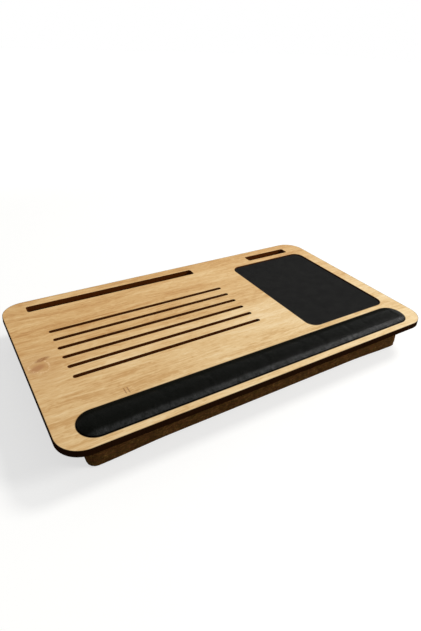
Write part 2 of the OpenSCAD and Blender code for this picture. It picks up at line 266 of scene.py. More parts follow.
# Knot in the oak face: its middle and half sizes, and how far it pushes the grain aside
KNOT, KNOT_HALF, KNOT_PUSH = Vector((-0.2815, -0.0065)), Vector((0.0155, 0.0170)), 0.010
# Its pinkish heart, and the dark streak past its far side, which climbs a little to the right
HEART, HEART_HALF, HEART_CLIMB = Vector((-0.2850, -0.0095)), Vector((0.0110, 0.0070)), 0.30
STREAK, STREAK_HALF, STREAK_CLIMB = Vector((-0.2740, 0.0075)), Vector((0.0105, 0.0042)), 0.22
# Two short dark strokes across the grain, in front of the computer's place: how far they wander, and how
# often in a metre
MARK_X, MARK_STEP, MARK_HALF = -0.2005, 0.0046, 0.0008
MARK_LOW_Y, MARK_HIGH_Y, MARK_FADE, MARK_WANDER, MARK_WAVES = -0.111, -0.098, 0.002, 0.0016, 260.0


def oval(x, y, middle, half, climb=0.0):
    """Distance from the middle of an oval in its own half sizes, and the part of it along y."""
    dx = x - middle.x
    dy = (dx * -climb + (y - middle.y)) / half.y
    dx = dx / half.x
    return (dx * dx + dy * dy).root(), dy


def strokes(x, y):
    """The two small dark strokes across the grain."""
    bent = y.tree.join(0.0, y * MARK_WAVES).noise(detail=1) * MARK_WANDER + x
    first, second = (abs(bent - (MARK_X + MARK_WANDER / 2 + step)).span(MARK_HALF * 1.7, MARK_HALF * 0.3)
                     for step in (0.0, MARK_STEP))
    ends = y.span(MARK_LOW_Y, MARK_LOW_Y + MARK_FADE) * y.span(MARK_HIGH_Y, MARK_HIGH_Y - MARK_FADE)
    return first.larger(second) * ends


def oak_face():
    shader = Finish("oak_decor")
    x, y, _ = shader.place.parts()
    reach, beside = oval(x, y, KNOT, KNOT_HALF)
    near = (reach ** 1.6 * -0.42).exp()
    side = beside / (abs(beside) + 0.35)
    # The grain runs along X: y is bent a little by slow waves and pushed aside by the knot
    sway = shader.place.noise((3.2, 9, 0)) - 0.5
    waves = shader.place.noise((16, 60, 0), detail=1) - 0.5
    lie = shader.join(x, near * side * -KNOT_PUSH + (sway * 0.034 + (waves * 0.0042 + y)))
    boards = lie.noise((1.3, 13, 0))
    bands = lie.noise((7, 60, 0), detail=4, rough=0.62, distortion=0.4)
    streaks = lie.noise((13, 330, 0), detail=5, rough=0.6)
    scallops = lie.noise((62, 210, 0), distortion=1.2)
    pores = lie.noise((95, 2100, 0), rough=0.6)
    spots = lie.noise((300, 500, 0))
    tone = scallops * 0.44 + (bands * 0.70 + streaks * 0.55) + (boards * 0.60 - 0.645)
    # Painted light: the decor is painted darker and warmer at the back left, as shade, and paler towards the
    # front right, as where more light falls
    painted_light_fall = (x * 0.7 + (y * -2.6 + 0.44)).span(0.0, 1.0)
    shaded_oak = tone.ramp((0.30, 192, 142, 86), (0.44, 212, 168, 110), (0.56, 222, 182, 125),
                     (0.72, 235, 201, 147))
    lit_oak = tone.ramp((0.30, 213, 174, 118), (0.44, 231, 199, 147), (0.56, 238, 210, 161),
                     (0.72, 246, 224, 184))
    # Knot: a pinkish brown heart, pale broken outlines and a dark streak past its far side
    ragged = bands * 1.1 - 0.55
    heart = (oval(x, y, HEART, HEART_HALF, HEART_CLIMB)[0] + ragged).span(1.35, 0.45)
    ring = abs(reach + ragged - 0.80).span(0.20, 0.02) * spots.span(0.46, 0.58)
    streak = oval(x, y, STREAK, STREAK_HALF, STREAK_CLIMB)[0].span(1.3, 0.4)
    streak *= spots.span(0.36, 0.60, 0.5, 1.0)
    scorch = inside_outline(x, y).span(SCORCH_FAR, SCORCH_NEAR)
    # Painted light: the shaded and the lit copy of the decor, mixed across the board
    colour = shaded_oak.mixed(painted_light_fall, lit_oak)
    for mask, over in ((pores.span(0.60, 0.70) * 0.34, (148, 104, 62)), (near * 0.42, (184, 134, 84)),
                       (heart * 0.62, (170, 114, 74)), (ring * 0.65, (238, 202, 154)),
                       (streak * 0.9, (146, 90, 46)), (strokes(x, y) * 0.6, (128, 78, 44)),
                       # Round the two wells the deck is darkened for the burnt cut edge and as painted shade
                       # of the gap
                       (scorch * 0.92, SCORCH_AND_SHADE_BLACK), (well_scorch_and_shade(x, y) * 0.85, SCORCH_AND_SHADE_BLACK)):
        colour = colour.mixed(mask, over)
    edge, grit = burnt_edge(shader)
    flat = facing_up(shader)
    relief = grit.mixed(flat, pores * -0.5 + streaks * 0.4)
    shine = (pores * 0.16 + 0.40).larger(0.95 - flat)
    return shader.set(Base_Color=edge.mixed(flat, colour), Roughness=shine, Specular_IOR_Level=flat * 0.09,
                      Normal=relief.bump(0.00022, 0.5))


def fibre_board(name, light, dark):
    """Pressed fibre board with burnt edges."""
    shader = Finish(name, Roughness=0.9, Specular_IOR_Level=0.0)
    clouds = shader.place.noise(26, detail=5, rough=0.6)
    fibres = shader.place.noise((700, 1100, 700), detail=4, rough=0.75, distortion=2.0)
    specks = shader.place.noise(1900, detail=1).span(0.62, 0.74)
    tone = fibres * 0.7 + clouds * 0.3
    colour = tone.ramp((0.32, *dark), (0.68, *light)).mixed(specks * 0.35, (70, 44, 26))
    edge, grit = burnt_edge(shader)
    flat = facing_up(shader)
    return shader.set(Base_Color=edge.mixed(flat, colour), Normal=grit.mixed(flat, fibres).bump(0.0002, 0.55))


# -------------------- cloth, rubber and metal materials


# How often in a metre a yarn's own number changes along it
YARN_WAVES = 55.0


def weave(shader, pitch_x, pitch_y):
    """Plain weave along the piece's own axes, picked by the way that a face looks: its height, and each
    yarn's own number."""
    x, y, z = shader.place.parts()
    away = [abs(part) for part in shader.facing()]
    level = away[2] > LEVEL_CLOTH
    u = level.pick((away[0] > away[1]).pick(x, y), x)
    v = level.pick(z, y)
    warp, weft = (u * (math.pi / pitch_x)).sine(), (v * (math.pi / pitch_y)).sine()
    top = warp * weft > 0.0
    yarn_u = shader.join(u / pitch_x, v * YARN_WAVES).noise(detail=1)
    yarn_v = shader.join(u * YARN_WAVES, v / pitch_y).noise(detail=1)
    return top.pick(abs(weft), abs(warp)), top.pick(yarn_v, yarn_u)


def cushion_cloth():
    """Heathered dark brown upholstery cloth."""
    shader = Finish("brown_weave", Roughness=0.92, Specular_IOR_Level=0.04, Sheen_Weight=0.03,
                    Sheen_Roughness=0.6, Sheen_Tint=paint(150, 112, 62))
    height, yarn = weave(shader, 0.00115, 0.00105)
    heather = shader.place.noise(900, detail=3, rough=0.7)
    mottle = shader.place.noise((210, 210, 520), detail=3, rough=0.6)
    clouds = shader.place.noise(90, detail=3, rough=0.6)
    hue = shader.place.noise((60, 60, 260), detail=3)
    tone = clouds * 0.25 + (mottle * 0.55 + (yarn * 0.40 + heather * 0.25) - 0.22)
    olive = tone.ramp((0.30, 54, 38, 14), (0.47, 82, 58, 23), (0.56, 102, 74, 32), (0.76, 152, 118, 64))
    russet = tone.ramp((0.30, 60, 36, 17), (0.47, 88, 56, 27), (0.56, 110, 71, 37), (0.76, 162, 116, 71))
    lit = height.ramp((0.0, 120, 110, 100), (0.8, 255, 255, 255))
    colour = olive.mixed(hue.span(0.34, 0.66), russet)
    # Painted shade: the weave's hollows are darker than its raised yarns
    return shader.set(Base_Color=colour.mixed(0.55, lit, "MULTIPLY"),
                      Normal=(heather * 0.5 + height).bump(0.00035, 0.8))


def pad_cloth():
    """Fine charcoal knit of the mouse pad."""
    shader = Finish("charcoal_knit", Roughness=0.9, Specular_IOR_Level=0.02, Sheen_Weight=0.02,
                    Sheen_Roughness=0.5, Sheen_Tint=paint(150, 150, 160))
    height, yarn = weave(shader, 0.00045, 0.00040)
    clouds = shader.place.noise(60, detail=4, rough=0.6)
    lint = shader.place.noise(2600, detail=1).span(0.70, 0.80)
    colour = (yarn * 0.6 + clouds * 0.4).ramp((0.35, 25, 25, 25), (0.65, 37, 37, 36))
    return shader.set(Base_Color=colour.mixed(lint * 0.25, (88, 88, 90)), Normal=height.bump(0.00012, 0.6))


# The wrist rest's polished front shoulder, its matt back one, and its rim painted dark as painted shade where
# it turns down into the well: where each begins and is full
POLISH = REST_MID_Y - 13.5 * MM, REST_MID_Y - 18.5 * MM
MATT = REST_MID_Y + 4 * MM, REST_MID_Y + 15 * MM
RIM_SHADE = DECK_Z + 1.5 * MM, DECK_Z + 0.8 * MM


def leatherette():
    """Black embossed leatherette: hands have polished its front shoulder, its back one is matt, and its
    rim is painted near black, painted shade in the crease round the well."""
    shader = Finish("black_leatherette", Specular_Tint=paint(252, 252, 255))
    place = shader.place
    _, y, z = place.parts()
    grain = place.cells((1150, 620, 620))
    groove = place.cells((620, 300, 300), "DISTANCE_TO_EDGE").span(0.0, 0.16)
    worn = place.noise((60, 25, 25), detail=4, rough=0.6)
    patches = place.noise((240, 160, 160), detail=3, rough=0.7).span(0.30, 0.70, 0.35, 1.65)
    # Soft wrinkles that run across the rest
    wrinkles = place.noise((420, 60, 60), detail=3, rough=0.6, distortion=0.4)
    relief = wrinkles * 3.2 + (place.noise(2400) * 0.25 + (grain * -0.45 + groove))
    # Painted shade: the grain's grooves are darker than the cells between them
    colour = (worn * 0.5 + groove * 0.5).ramp((0.2, 5, 6, 4), (0.8, 13, 14, 11))
    front, back, rim = y.span(*POLISH) * patches, y.span(*MATT), z.span(*RIM_SHADE)
    gloss = (front * 0.084 + (back * -0.016 + 0.020)) * (1.0 - rim)
    # The rim's near black is painted shade in the crease where the cover turns down into the well
    return shader.set(Base_Color=colour.mixed(rim, (3, 3, 2)), Roughness=worn * 0.10 + (back * 0.25 + 0.29),
                      Specular_IOR_Level=gloss, Normal=relief.bump(0.00018, 0.7))


def grainy(name, light, dark, roughness, scale, relief):
    """Plain pressed, moulded or foamed stuff: clouds, fine grain and small pits."""
    shader = Finish(name, Roughness=roughness)
    grain = shader.place.noise(scale, detail=4, rough=0.7)
    clouds = shader.place.noise(scale / 30, detail=3)
    pits = shader.place.cells(scale * 0.8)
    return shader.set(Base_Color=(grain * 0.6 + clouds * 0.4).ramp((0.32, *dark), (0.68, *light)),
                      Normal=(pits * 0.6 + grain).bump(relief, 0.7))


# Pitch of the zip tape's ribs, and of its twill along z and along x
RIB_PITCH, TWILL_Z, TWILL_X = 1.1 * MM, 0.8 * MM, 1.6 * MM


def tape_cloth():
    """Zip tape: fine ribs across and a slanted twill along it."""
    shader = Finish("zip_twill", Roughness=0.88, Specular_IOR_Level=0.2, Sheen_Weight=0.15,
                    Sheen_Roughness=0.6, Sheen_Tint=paint(130, 100, 76))
    x, _, z = shader.place.parts()
    ribs = (x * (2 * math.pi / RIB_PITCH)).sine()
    height = ribs * 0.5 + (z * (2 * math.pi / TWILL_Z) + x * (2 * math.pi / TWILL_X)).sine()
    # Painted shade: the hollows between the ribs and the twill are darker than their raised places
    tone = height * 0.12 + shader.place.noise(700, detail=3)
    return shader.set(Base_Color=tone.ramp((0.25, 28, 18, 12), (0.75, 58, 40, 27)),
                      Normal=height.bump(0.00012, 0.7))


def dark_metal():
    """Cast zip metal with a dark finish, rubbed brighter on its raised places."""
    shader = Finish("dark_zip_metal", Metallic=1.0, Specular_IOR_Level=0.5)
    rub = shader.place.noise(500, detail=3)
    scratches = shader.place.noise((5200, 700, 700), detail=3, rough=0.7)
    raised = shader.add("NewGeometry", {}, "Pointiness")
    colour = rub.ramp((0.3, 60, 56, 52), (0.7, 80, 76, 71))
    return shader.set(Base_Color=colour.mixed((rub * 0.05 + raised).span(0.56, 0.66), (142, 138, 131)),
                      Roughness=scratches * 0.25 + 0.22, Normal=scratches.bump(0.00002, 0.5))


def loop_pile(name, near, far, cell):
    """Hook or loop strip: rows of small tufts."""
    shader = Finish(name, Roughness=0.9, Specular_IOR_Level=0.25, Sheen_Weight=0.2, Sheen_Roughness=0.5,
                    Sheen_Tint=paint(120, 120, 120))
    tufts = shader.place.cells(cell, random=0.35)
    height = shader.place.noise(cell * 2.5, detail=3, rough=0.7) * 0.5 + tufts
    return shader.set(Base_Color=height.ramp((0.2, *near), (0.9, *far)), Normal=height.bump(0.0006, 0.9))


# -------------------- mesh helpers


def link(name, data):
    made = bpy.data.objects.new(name, data)
    bpy.context.scene.collection.objects.link(made)
    return made


def shade(mesh, smooth):
    mesh.polygons.foreach_set("use_smooth", [smooth] * len(mesh.polygons))


def mesh_piece(name, points, faces):
    """A smooth-shaded piece from points and faces."""
    mesh = bpy.data.meshes.new(name)
    mesh.from_pydata([tuple(p) for p in points], [], faces)
    shade(mesh, True)
    mesh.validate()
    return link(name, mesh)


def drop(piece):
    mesh = piece.data
    bpy.data.objects.remove(piece)
    bpy.data.meshes.remove(mesh)


def add_modifier(piece, kind, **settings):
    made = piece.modifiers.new(kind.lower(), kind)
    for key, value in settings.items():
        setattr(made, key, value)
    return made


def bake_modifiers(piece):
    """The piece's modifiers, applied."""
    depsgraph = bpy.context.evaluated_depsgraph_get()
    mesh = bpy.data.meshes.new_from_object(piece.evaluated_get(depsgraph))
    piece.modifiers.clear()
    old = piece.data
    piece.data = mesh
    bpy.data.meshes.remove(old)
    mesh.name = piece.name


def refine(piece):
    add_modifier(piece, "SUBSURF", levels=1, render_levels=1)
    bake_modifiers(piece)


def thicken(piece, thickness):
    """Gives cloth its thickness, on its inside."""
    add_modifier(piece, "SOLIDIFY", thickness=thickness, offset=-1.0)
    bake_modifiers(piece)


def points_of(piece):
    flat = np.empty(len(piece.data.vertices) * 3)
    piece.data.vertices.foreach_get("co", flat)
    return flat.reshape(-1, 3)


def set_points(piece, points):
    piece.data.vertices.foreach_set("co", np.asarray(points, dtype=float).ravel())
    piece.data.update()


def dress(piece, body, material, slot, *nodes):
    """Gives a piece its body and its material, and hides the CAD nodes that it stands for. The slot is not
    used.
    """
    piece.data.materials.clear()
    piece.data.materials.append(material)
    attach(piece, body)
    if nodes:
        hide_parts(*nodes)
    return piece


SWELL_FRAMES = 20


def swollen(piece, start, held, reach, pressure, slack, stiffness):
    """Where the points of a closed cloth piece go from start when it is inflated, held where held is 1,
    and none further than reach."""
    group = piece.vertex_groups.new(name="held")
    for index, weight in enumerate(held):
        if weight > 0:
            group.add([index], float(weight), "REPLACE")
    cloth = add_modifier(piece, "CLOTH")
    for key, value in dict(
            quality=6, mass=0.25, tension_stiffness=stiffness, shear_stiffness=stiffness,
            compression_stiffness=stiffness, bending_stiffness=0.12, air_damping=2.0, use_pressure=True,
            uniform_pressure_force=pressure, shrink_min=-slack, vertex_group_mass=group.name,
            pin_stiffness=1.0).items():
        setattr(cloth.settings, key, value)
    cloth.settings.effector_weights.gravity = 0.0
    cloth.collision_settings.use_collision = False
    cloth.point_cache.frame_start, cloth.point_cache.frame_end = 1, SWELL_FRAMES
    scene = bpy.context.scene
    for number in range(1, SWELL_FRAMES + 1):
        scene.frame_set(number)
    bake_modifiers(piece)
    scene.frame_set(1)
    piece.vertex_groups.clear()
    moved = points_of(piece) - start
    size = np.linalg.norm(moved, axis=1)
    scale = reach * np.tanh(size / reach) / np.maximum(size, 1e-9)
    return start + moved * scale[:, None]


def arc(x, y, r, start, sweep, count, steps):
    """Points on an arc that goes from start by sweep degrees in count steps, those that steps names."""
    turns = [math.radians(start + sweep * k / count) for k in steps]
    return [(x + r * math.cos(turn), y + r * math.sin(turn)) for turn in turns]


def numbered_rings(count, size):
    return [range(j * size, (j + 1) * size) for j in range(count)]


def ring_quads(rings):
    """Quads from each closed ring of point numbers to the next."""
    return [(low[i], low[(i + 1) % len(low)], high[(i + 1) % len(low)], high[i])
            for low, high in zip(rings, rings[1:]) for i in range(len(low))]


def end_faces(rings):
    return [tuple(rings[0][::-1]), tuple(rings[-1])]


def tube(name, path, radius, sides=8, closed=False):
    """Round tube along a path; radius may be a number or one number per point."""
    path = [Vector(p) for p in path]
    count = len(path)
    radii = [radius] * count if isinstance(radius, (int, float)) else radius
    points, side = [], None
    for i, here in enumerate(path):
        ahead = path[(i + 1) % count] if closed or i < count - 1 else here
        behind = path[i - 1] if closed or i > 0 else here
        along = (ahead - behind).normalized()
        if side is None:
            side = along.cross(Vector((0, 0, 1)))
            side = side.normalized() if side.length > 0.1 else along.cross(Vector((0, 1, 0))).normalized()
        side = (side - along * side.dot(along)).normalized()
        over = along.cross(side)
        points += [here + side * x + over * y for x, y in arc(0, 0, radii[i], 0, 360, sides, range(sides))]
    rings = numbered_rings(count, sides)
    faces = ring_quads(rings + rings[:1]) if closed else ring_quads(rings) + end_faces(rings)
    return mesh_piece(name, points, faces)


def merged(name, pieces):
    """Several mesh pieces as one."""
    batch = bmesh.new()
    for piece in pieces:
        batch.from_mesh(piece.data)
        drop(piece)
    mesh = bpy.data.meshes.new(name)
    batch.to_mesh(mesh)
    batch.free()
    return link(name, mesh)


# -------------------- cushion

BAND_LOW, BAND_HIGH = box_of("cushion_side_band")
TOP_LOW, TOP_HIGH = box_of("cushion_top_cloth")
TAPE_LOW, TAPE_HIGH = box_of("zip_tapes")
TEETH_LOW, TEETH_HIGH = box_of("zip_teeth")
HALF_X, HALF_Y = BAND_HIGH.x, (BAND_HIGH.y - BAND_LOW.y) / 2
MID_Y = (BAND_HIGH.y + BAND_LOW.y) / 2
CUSHION_CORNER_R, LEAST_CORNER_R = 12 * MM, 2 * MM
# How far the sides are drawn in between the corners, and over what stretch of a short side
DRAW_IN, SIDE_RUN = 3 * MM, 96 * MM
TOP_SEAM_IN, BASE_SEAM_IN = 2 * MM, 1.5 * MM
CROWN, CROWN_RUN, STAND_CUT, CROWN_SOFT = 2 * MM, 60 * MM, 0.5 * MM, 8 * MM
BAND_CLOTH_T, PANEL_CLOTH_T = 1 * MM, 0.9 * MM
ZIP_Z = (TAPE_LOW.z + TAPE_HIGH.z) / 2
ZIP_MOUTH = TAPE_HIGH.x
ZIP_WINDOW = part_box("zip_strip_upper")[0][2] - ZIP_Z
BACK_Y = BAND_HIGH.y - DRAW_IN
# The upright stretch of the band, between the turns to its two seams
BAND_FLAT_LOW, BAND_FLAT_HIGH = TAPE_LOW.z - 0.3 * MM, TAPE_HIGH.z + 0.3 * MM
# Quads: round an eighth of a corner, along the drawn-in and the straight stretches, and up the band
ARC_STEPS = 2
RUN_STEPS, MOUTH_STEPS, SIDE_STEPS = 19, 64, 57
BAND_STEPS = (5, 3, 5)
# Places further out than this share of a side move with its corners
END_SHARE = 0.62
# The cover's middle is stuck down as far out as this
STUCK_IN = 46 * MM
# How the cover is inflated, and how far its band and its base may move
SWELL = {"pressure": 4.0, "slack": 0.012, "stiffness": 12.0}
BAND_REACH, BASE_REACH = 3.2 * MM, 0.9 * MM
# Puckers beside the seams: depth, spacing along the seam, how far off it they begin and how far they run
PUCKER, PUCKER_STEP, PUCKER_START, PUCKER_RUN = 0.45 * MM, 8 * MM, 1.5 * MM, 7 * MM
SEAM_R = 0.9 * MM


def half_side(count_mid, half, run, mid):
    """Places along a side from its left corner to its right one, with how far each is drawn in."""
    places = []
    for k in range(RUN_STEPS):
        s = k / RUN_STEPS
        places.append((-half + run * k / RUN_STEPS, DRAW_IN * (s * s * (3 - 2 * s))))
    middle = [(-mid + 2 * mid * k / count_mid, DRAW_IN) for k in range(count_mid + 1)]
    return places + middle + [(-place, drawn) for place, drawn in reversed(places)]


def cushion_outline(inset):
    """Closed outline as four lists of points, front, right, back and left, each from the middle of one
    corner to the middle of the next, counter-clockwise."""
    r = max(CUSHION_CORNER_R - inset, LEAST_CORNER_R)
    cx, cy = HALF_X - inset - r, HALF_Y - inset - r
    full_x, full_y = HALF_X - CUSHION_CORNER_R, HALF_Y - CUSHION_CORNER_R
    long_side = half_side(MOUTH_STEPS, full_x, full_x - ZIP_MOUTH, ZIP_MOUTH)
    short_side = half_side(SIDE_STEPS - 2 * RUN_STEPS, full_y, SIDE_RUN, full_y - SIDE_RUN)
    sides = []
    for turns, (places, full, along, out) in enumerate(
            ((long_side, full_x, cx, cy), (short_side, full_y, cy, cx)) * 2):
        # Each side is laid out as the front one, pulled in from its ends, and then turned to its place
        side = arc(-along, -out, r, 225, 45, ARC_STEPS, range(ARC_STEPS))
        side += [(place * along / full if abs(place) > full * END_SHARE else place, drawn - (out + r))
                 for place, drawn in places]
        side += arc(along, -out, r, 270, 45, ARC_STEPS, range(1, ARC_STEPS + 1))
        for _ in range(turns):
            side = [(-y, x) for x, y in side]
        sides.append([(x, y + MID_Y) for x, y in side])
    return sides


def patch(sides):
    """Grid of points spanned by four sides, as rows from front to back."""
    front, right, back, left = (np.array(side) for side in sides)
    back, left = back[::-1], left[::-1]
    across, deep = len(front) - 1, len(right) - 1
    rows = []
    for j in range(deep + 1):
        v = j / deep
        row = []
        for i in range(across + 1):
            u = i / across
            blend = (1 - v) * front[i] + v * back[i] + (1 - u) * left[j] + u * right[j]
            row.append(blend - ((1 - u) * (1 - v) * front[0] + u * (1 - v) * front[-1]
                                + (1 - u) * v * back[0] + u * v * back[-1]))
        rows.append(row)
    return rows


def base_height(x, y):
    """Height of the base's cloth: it swells down from its seam to the flat that it stands on."""
    gap_x, gap_y = HALF_X - DRAW_IN / 2 - abs(x), HALF_Y - DRAW_IN / 2 - abs(y - MID_Y)
    near = -CROWN_SOFT * math.log(math.exp(-gap_x / CROWN_SOFT) + math.exp(-gap_y / CROWN_SOFT))
    s = 1 - min(1, max(0, near - BASE_SEAM_IN) / CROWN_RUN)
    return max(0.0, (CROWN + STAND_CUT) * s * s - STAND_CUT)


def band_levels():
    """(inset, height) up the band, from the base seam to the top seam."""
    stops = (BAND_LOW.z, ZIP_Z - ZIP_WINDOW, ZIP_Z + ZIP_WINDOW, BAND_HIGH.z)
    heights = [stops[0]]
    for count, low, high in zip(BAND_STEPS, stops, stops[1:]):
        heights += [low + (high - low) * k / count for k in range(1, count + 1)]
    levels = []
    for z in heights:
        low = max(0.0, (BAND_FLAT_LOW - z) / (BAND_FLAT_LOW - BAND_LOW.z))
        high = max(0.0, (z - BAND_FLAT_HIGH) / (BAND_HIGH.z - BAND_FLAT_HIGH))
        levels.append((BASE_SEAM_IN * low * low + TOP_SEAM_IN * high * high, z))
    return levels


class Cover:
    """The cushion's whole cover as one welded mesh: points, and quads per region."""

    def __init__(self):
        self.points, self.quads = [], {}
        self.rings = [self.add_ring(cushion_outline(inset), z) for inset, z in band_levels()]
        self.quads["band"] = ring_quads(self.rings)
        self.add_panel("base", self.rings[0], cushion_outline(BASE_SEAM_IN), base_height, True)
        self.add_panel("top", self.rings[-1], cushion_outline(TOP_SEAM_IN), lambda x, y: TOP_LOW.z, False)
        self.points = np.array(self.points)
        self.at_rest = self.points.copy()

    def add_ring(self, sides, z):
        first = len(self.points)
        self.points += [(x, y, z) for side in sides for x, y in side[:-1]]
        return list(range(first, len(self.points)))

    def add_panel(self, name, ring, sides, height, downward):
        """Grid of quads inside a ring of the band."""
        rows = patch(sides)
        deep, across = len(rows) - 1, len(rows[0]) - 1
        numbers = [[None] * (across + 1) for _ in rows]
        edge = ([(0, i) for i in range(across)] + [(j, across) for j in range(deep)]
                + [(deep, i) for i in range(across, 0, -1)] + [(j, 0) for j in range(deep, 0, -1)])
        for (j, i), number in zip(edge, ring):
            numbers[j][i] = number
        for j in range(1, deep):
            for i in range(1, across):
                x, y = rows[j][i]
                numbers[j][i] = len(self.points)
                self.points.append((x, y, height(x, y)))
        quads = [(numbers[j][i], numbers[j][i + 1], numbers[j + 1][i + 1], numbers[j + 1][i])
                 for j in range(deep) for i in range(across)]
        self.quads[name] = [quad[::-1] for quad in quads] if downward else quads

    def held(self):
        """1 where the cover is sewn, stuck to the strips or backed by the zip, 0 between."""
        x, y, z = self.points.T
        weights = np.zeros(len(self.points))
        weights[z > BAND_HIGH.z - 0.1 * MM] = 1
        weights[self.rings[0]] = 1
        weights[np.minimum(HALF_X - abs(x), HALF_Y - abs(y - MID_Y)) > STUCK_IN] = 1
        weights[(abs(z - ZIP_Z) < ZIP_WINDOW + 4 * MM) & (abs(x) < ZIP_MOUTH + 6 * MM)
                & (y > BACK_Y - 4 * MM)] = 1
        return weights

    def inflate(self):
        whole = mesh_piece("whole_cover", self.points, [q for quads in self.quads.values() for q in quads])
        on_base = self.at_rest[:, 2] < BAND_LOW.z - 0.01 * MM
        reach = np.where(on_base, BASE_REACH, BAND_REACH)
        self.points = swollen(whole, self.at_rest, self.held(), reach, **SWELL)
        drop(whole)
        self.points[:, 2] = np.clip(self.points[:, 2], 0.0, TOP_HIGH.z)

    def in_zip_window(self, quad):
        x, y, z = self.at_rest[list(quad)].mean(axis=0)
        return abs(x) < ZIP_MOUTH and y > BACK_Y - 4 * MM and abs(z - ZIP_Z) < ZIP_WINDOW

    def piece(self, name, region):
        """One region as its own piece of cloth, left open where the zip's window is."""
        chosen = [quad for quad in self.quads[region] if not self.in_zip_window(quad)]
        used = sorted({number for quad in chosen for number in quad})
        place = {number: k for k, number in enumerate(used)}
        piece = mesh_piece(name, self.points[used], [tuple(place[k] for k in quad) for quad in chosen])
        refine(piece)
        return piece


def pucker(piece, seams):
    """Small dents across the seams, where the stitching gathers the cloth."""
    points = points_of(piece)
    for i, (x, y, z) in enumerate(points.copy()):
        near = min(abs(z - seam) for seam in seams)
        if near < 3 * PUCKER_RUN:
            wave = noise.noise(Vector((x / PUCKER_STEP, y / PUCKER_STEP, z / (4 * PUCKER_STEP))))
            depth = PUCKER * wave * math.exp(-near / PUCKER_RUN) * (1 - math.exp(-near / PUCKER_START))
            outward = Vector((x / HALF_X ** 2, (y - MID_Y) / HALF_Y ** 2, 0)).normalized()
            points[i] += np.array(outward) * depth
    set_points(piece, points)


def seam_ridge(name, loop, radius):
    """Thin gathered ridge of cloth where two panels are sewn together."""
    fine = []
    for a, b in zip(loop, loop[1:] + loop[:1]):
        fine += [a, (a + b) / 2]
    radii = [radius * (1 + 0.12 * noise.noise(p / (3 * MM))) for p in fine]
    return tube(name, fine, radii, closed=True)


def make_cushion(cloth):
    cover = Cover()
    cover.inflate()
    band = cover.piece("cushion_band_cover", "band")
    base = cover.piece("cushion_base_cover", "base")
    top = cover.piece("cushion_top_cover", "top")
    pucker(band, (BAND_LOW.z, BAND_HIGH.z))
    top_points = points_of(top)
    top_points[:, 2] = np.maximum(top_points[:, 2], TOP_LOW.z) + PANEL_CLOTH_T
    set_points(top, top_points)
    for piece, thickness, nodes in (
            (band, BAND_CLOTH_T, ("cushion_side_band", "zip_strip_upper", "zip_strip_lower")),
            (base, PANEL_CLOTH_T, ("cushion_base_cloth",)), (top, PANEL_CLOTH_T, ("cushion_top_cloth",))):
        thicken(piece, thickness)
        dress(piece, DESK, cloth, "cushion_cloth", *nodes)
    for name, ring, lift in (("base_seam_ridge", cover.rings[0], -0.2 * MM),
                             ("top_seam_ridge", cover.rings[-1], 0.3 * MM)):
        loop = [Vector(cover.points[k]) + Vector((0, 0, lift)) for k in ring]
        dress(seam_ridge(name, loop, SEAM_R), DESK, cloth, "cushion_cloth")


# -------------------- zip

# Gap between the two tapes, a little wider than the slider's post
ZIP_SLIT = 1.0 * MM
COIL_PITCH, COIL_WIRE_R, COIL_STEPS = 1.5 * MM, 0.34 * MM, 10
TAPE_COLUMNS = 129
# Thickness of a tape at its two edges, as a share of the rest, and how much its back is creased
TAPE_EDGE, TAPE_CREASE = 0.4, 0.10 * MM
HEM_R, HEM_SUNK = 0.75 * MM, 0.35 * MM
STITCH_L, STITCH_STEP, STITCH_R, STITCH_OFF = 2.4 * MM, 3.2 * MM, 0.22 * MM, 3.0 * MM
# A stitch rises out of the cloth and dips back: (share of its length, height over the cloth)
STITCH_ARCH = ((0, -0.25 * MM), (0.12, 0.08 * MM), (0.5, 0.16 * MM), (0.88, 0.08 * MM), (1, -0.25 * MM))


def zip_tapes(cloth):
    """Two woven tapes, thinner at both edges, with the slit between them."""
    strips = []
    edge = TEETH_HIGH.z - ZIP_Z
    half_slit = ZIP_SLIT / 2
    mid_y, half_t = (TAPE_LOW.y + TAPE_HIGH.y) / 2, (TAPE_HIGH.y - TAPE_LOW.y) / 2
    heights = [half_slit, half_slit + 0.25 * MM, edge + 0.3 * MM, edge + 1 * MM]
    heights += list(np.linspace(edge + 2 * MM, TAPE_HIGH.z - ZIP_Z, 6))
    columns = np.linspace(TAPE_LOW.x, TAPE_HIGH.x, TAPE_COLUMNS)
    rows, layer = len(heights), len(columns) * len(heights)
    for side in (1, -1):
        points, faces = [], []
        for sign in (1, -1):
            for x in columns:
                for k, h in enumerate(heights):
                    wave = TAPE_CREASE * noise.noise(Vector((x * 60, h * 200, side))) if sign < 0 else 0.0
                    thin = TAPE_EDGE if k in (0, rows - 1) else 1.0
                    points.append((x, mid_y + sign * half_t * thin + wave, ZIP_Z + side * h))
        for first in range(0, layer - rows, rows):
            ring = [*range(first, first + rows), *range(layer + first + rows - 1, layer + first - 1, -1)]
            faces += ring_quads([ring, [number + rows for number in ring]])
        for first in (0, layer - rows):
            faces += [(a, layer + a, layer + a + 1, a + 1) for a in range(first, first + rows - 1)]
        strips.append(mesh_piece(f"tape_{side}", points, faces))
    tapes = merged("zip_tape_cloth", strips)
    batch = bmesh.new()
    batch.from_mesh(tapes.data)
    bmesh.ops.recalc_face_normals(batch, faces=batch.faces)
    batch.to_mesh(tapes.data)
    batch.free()
    return dress(tapes, DESK, cloth, "zip_tape", "zip_tapes")


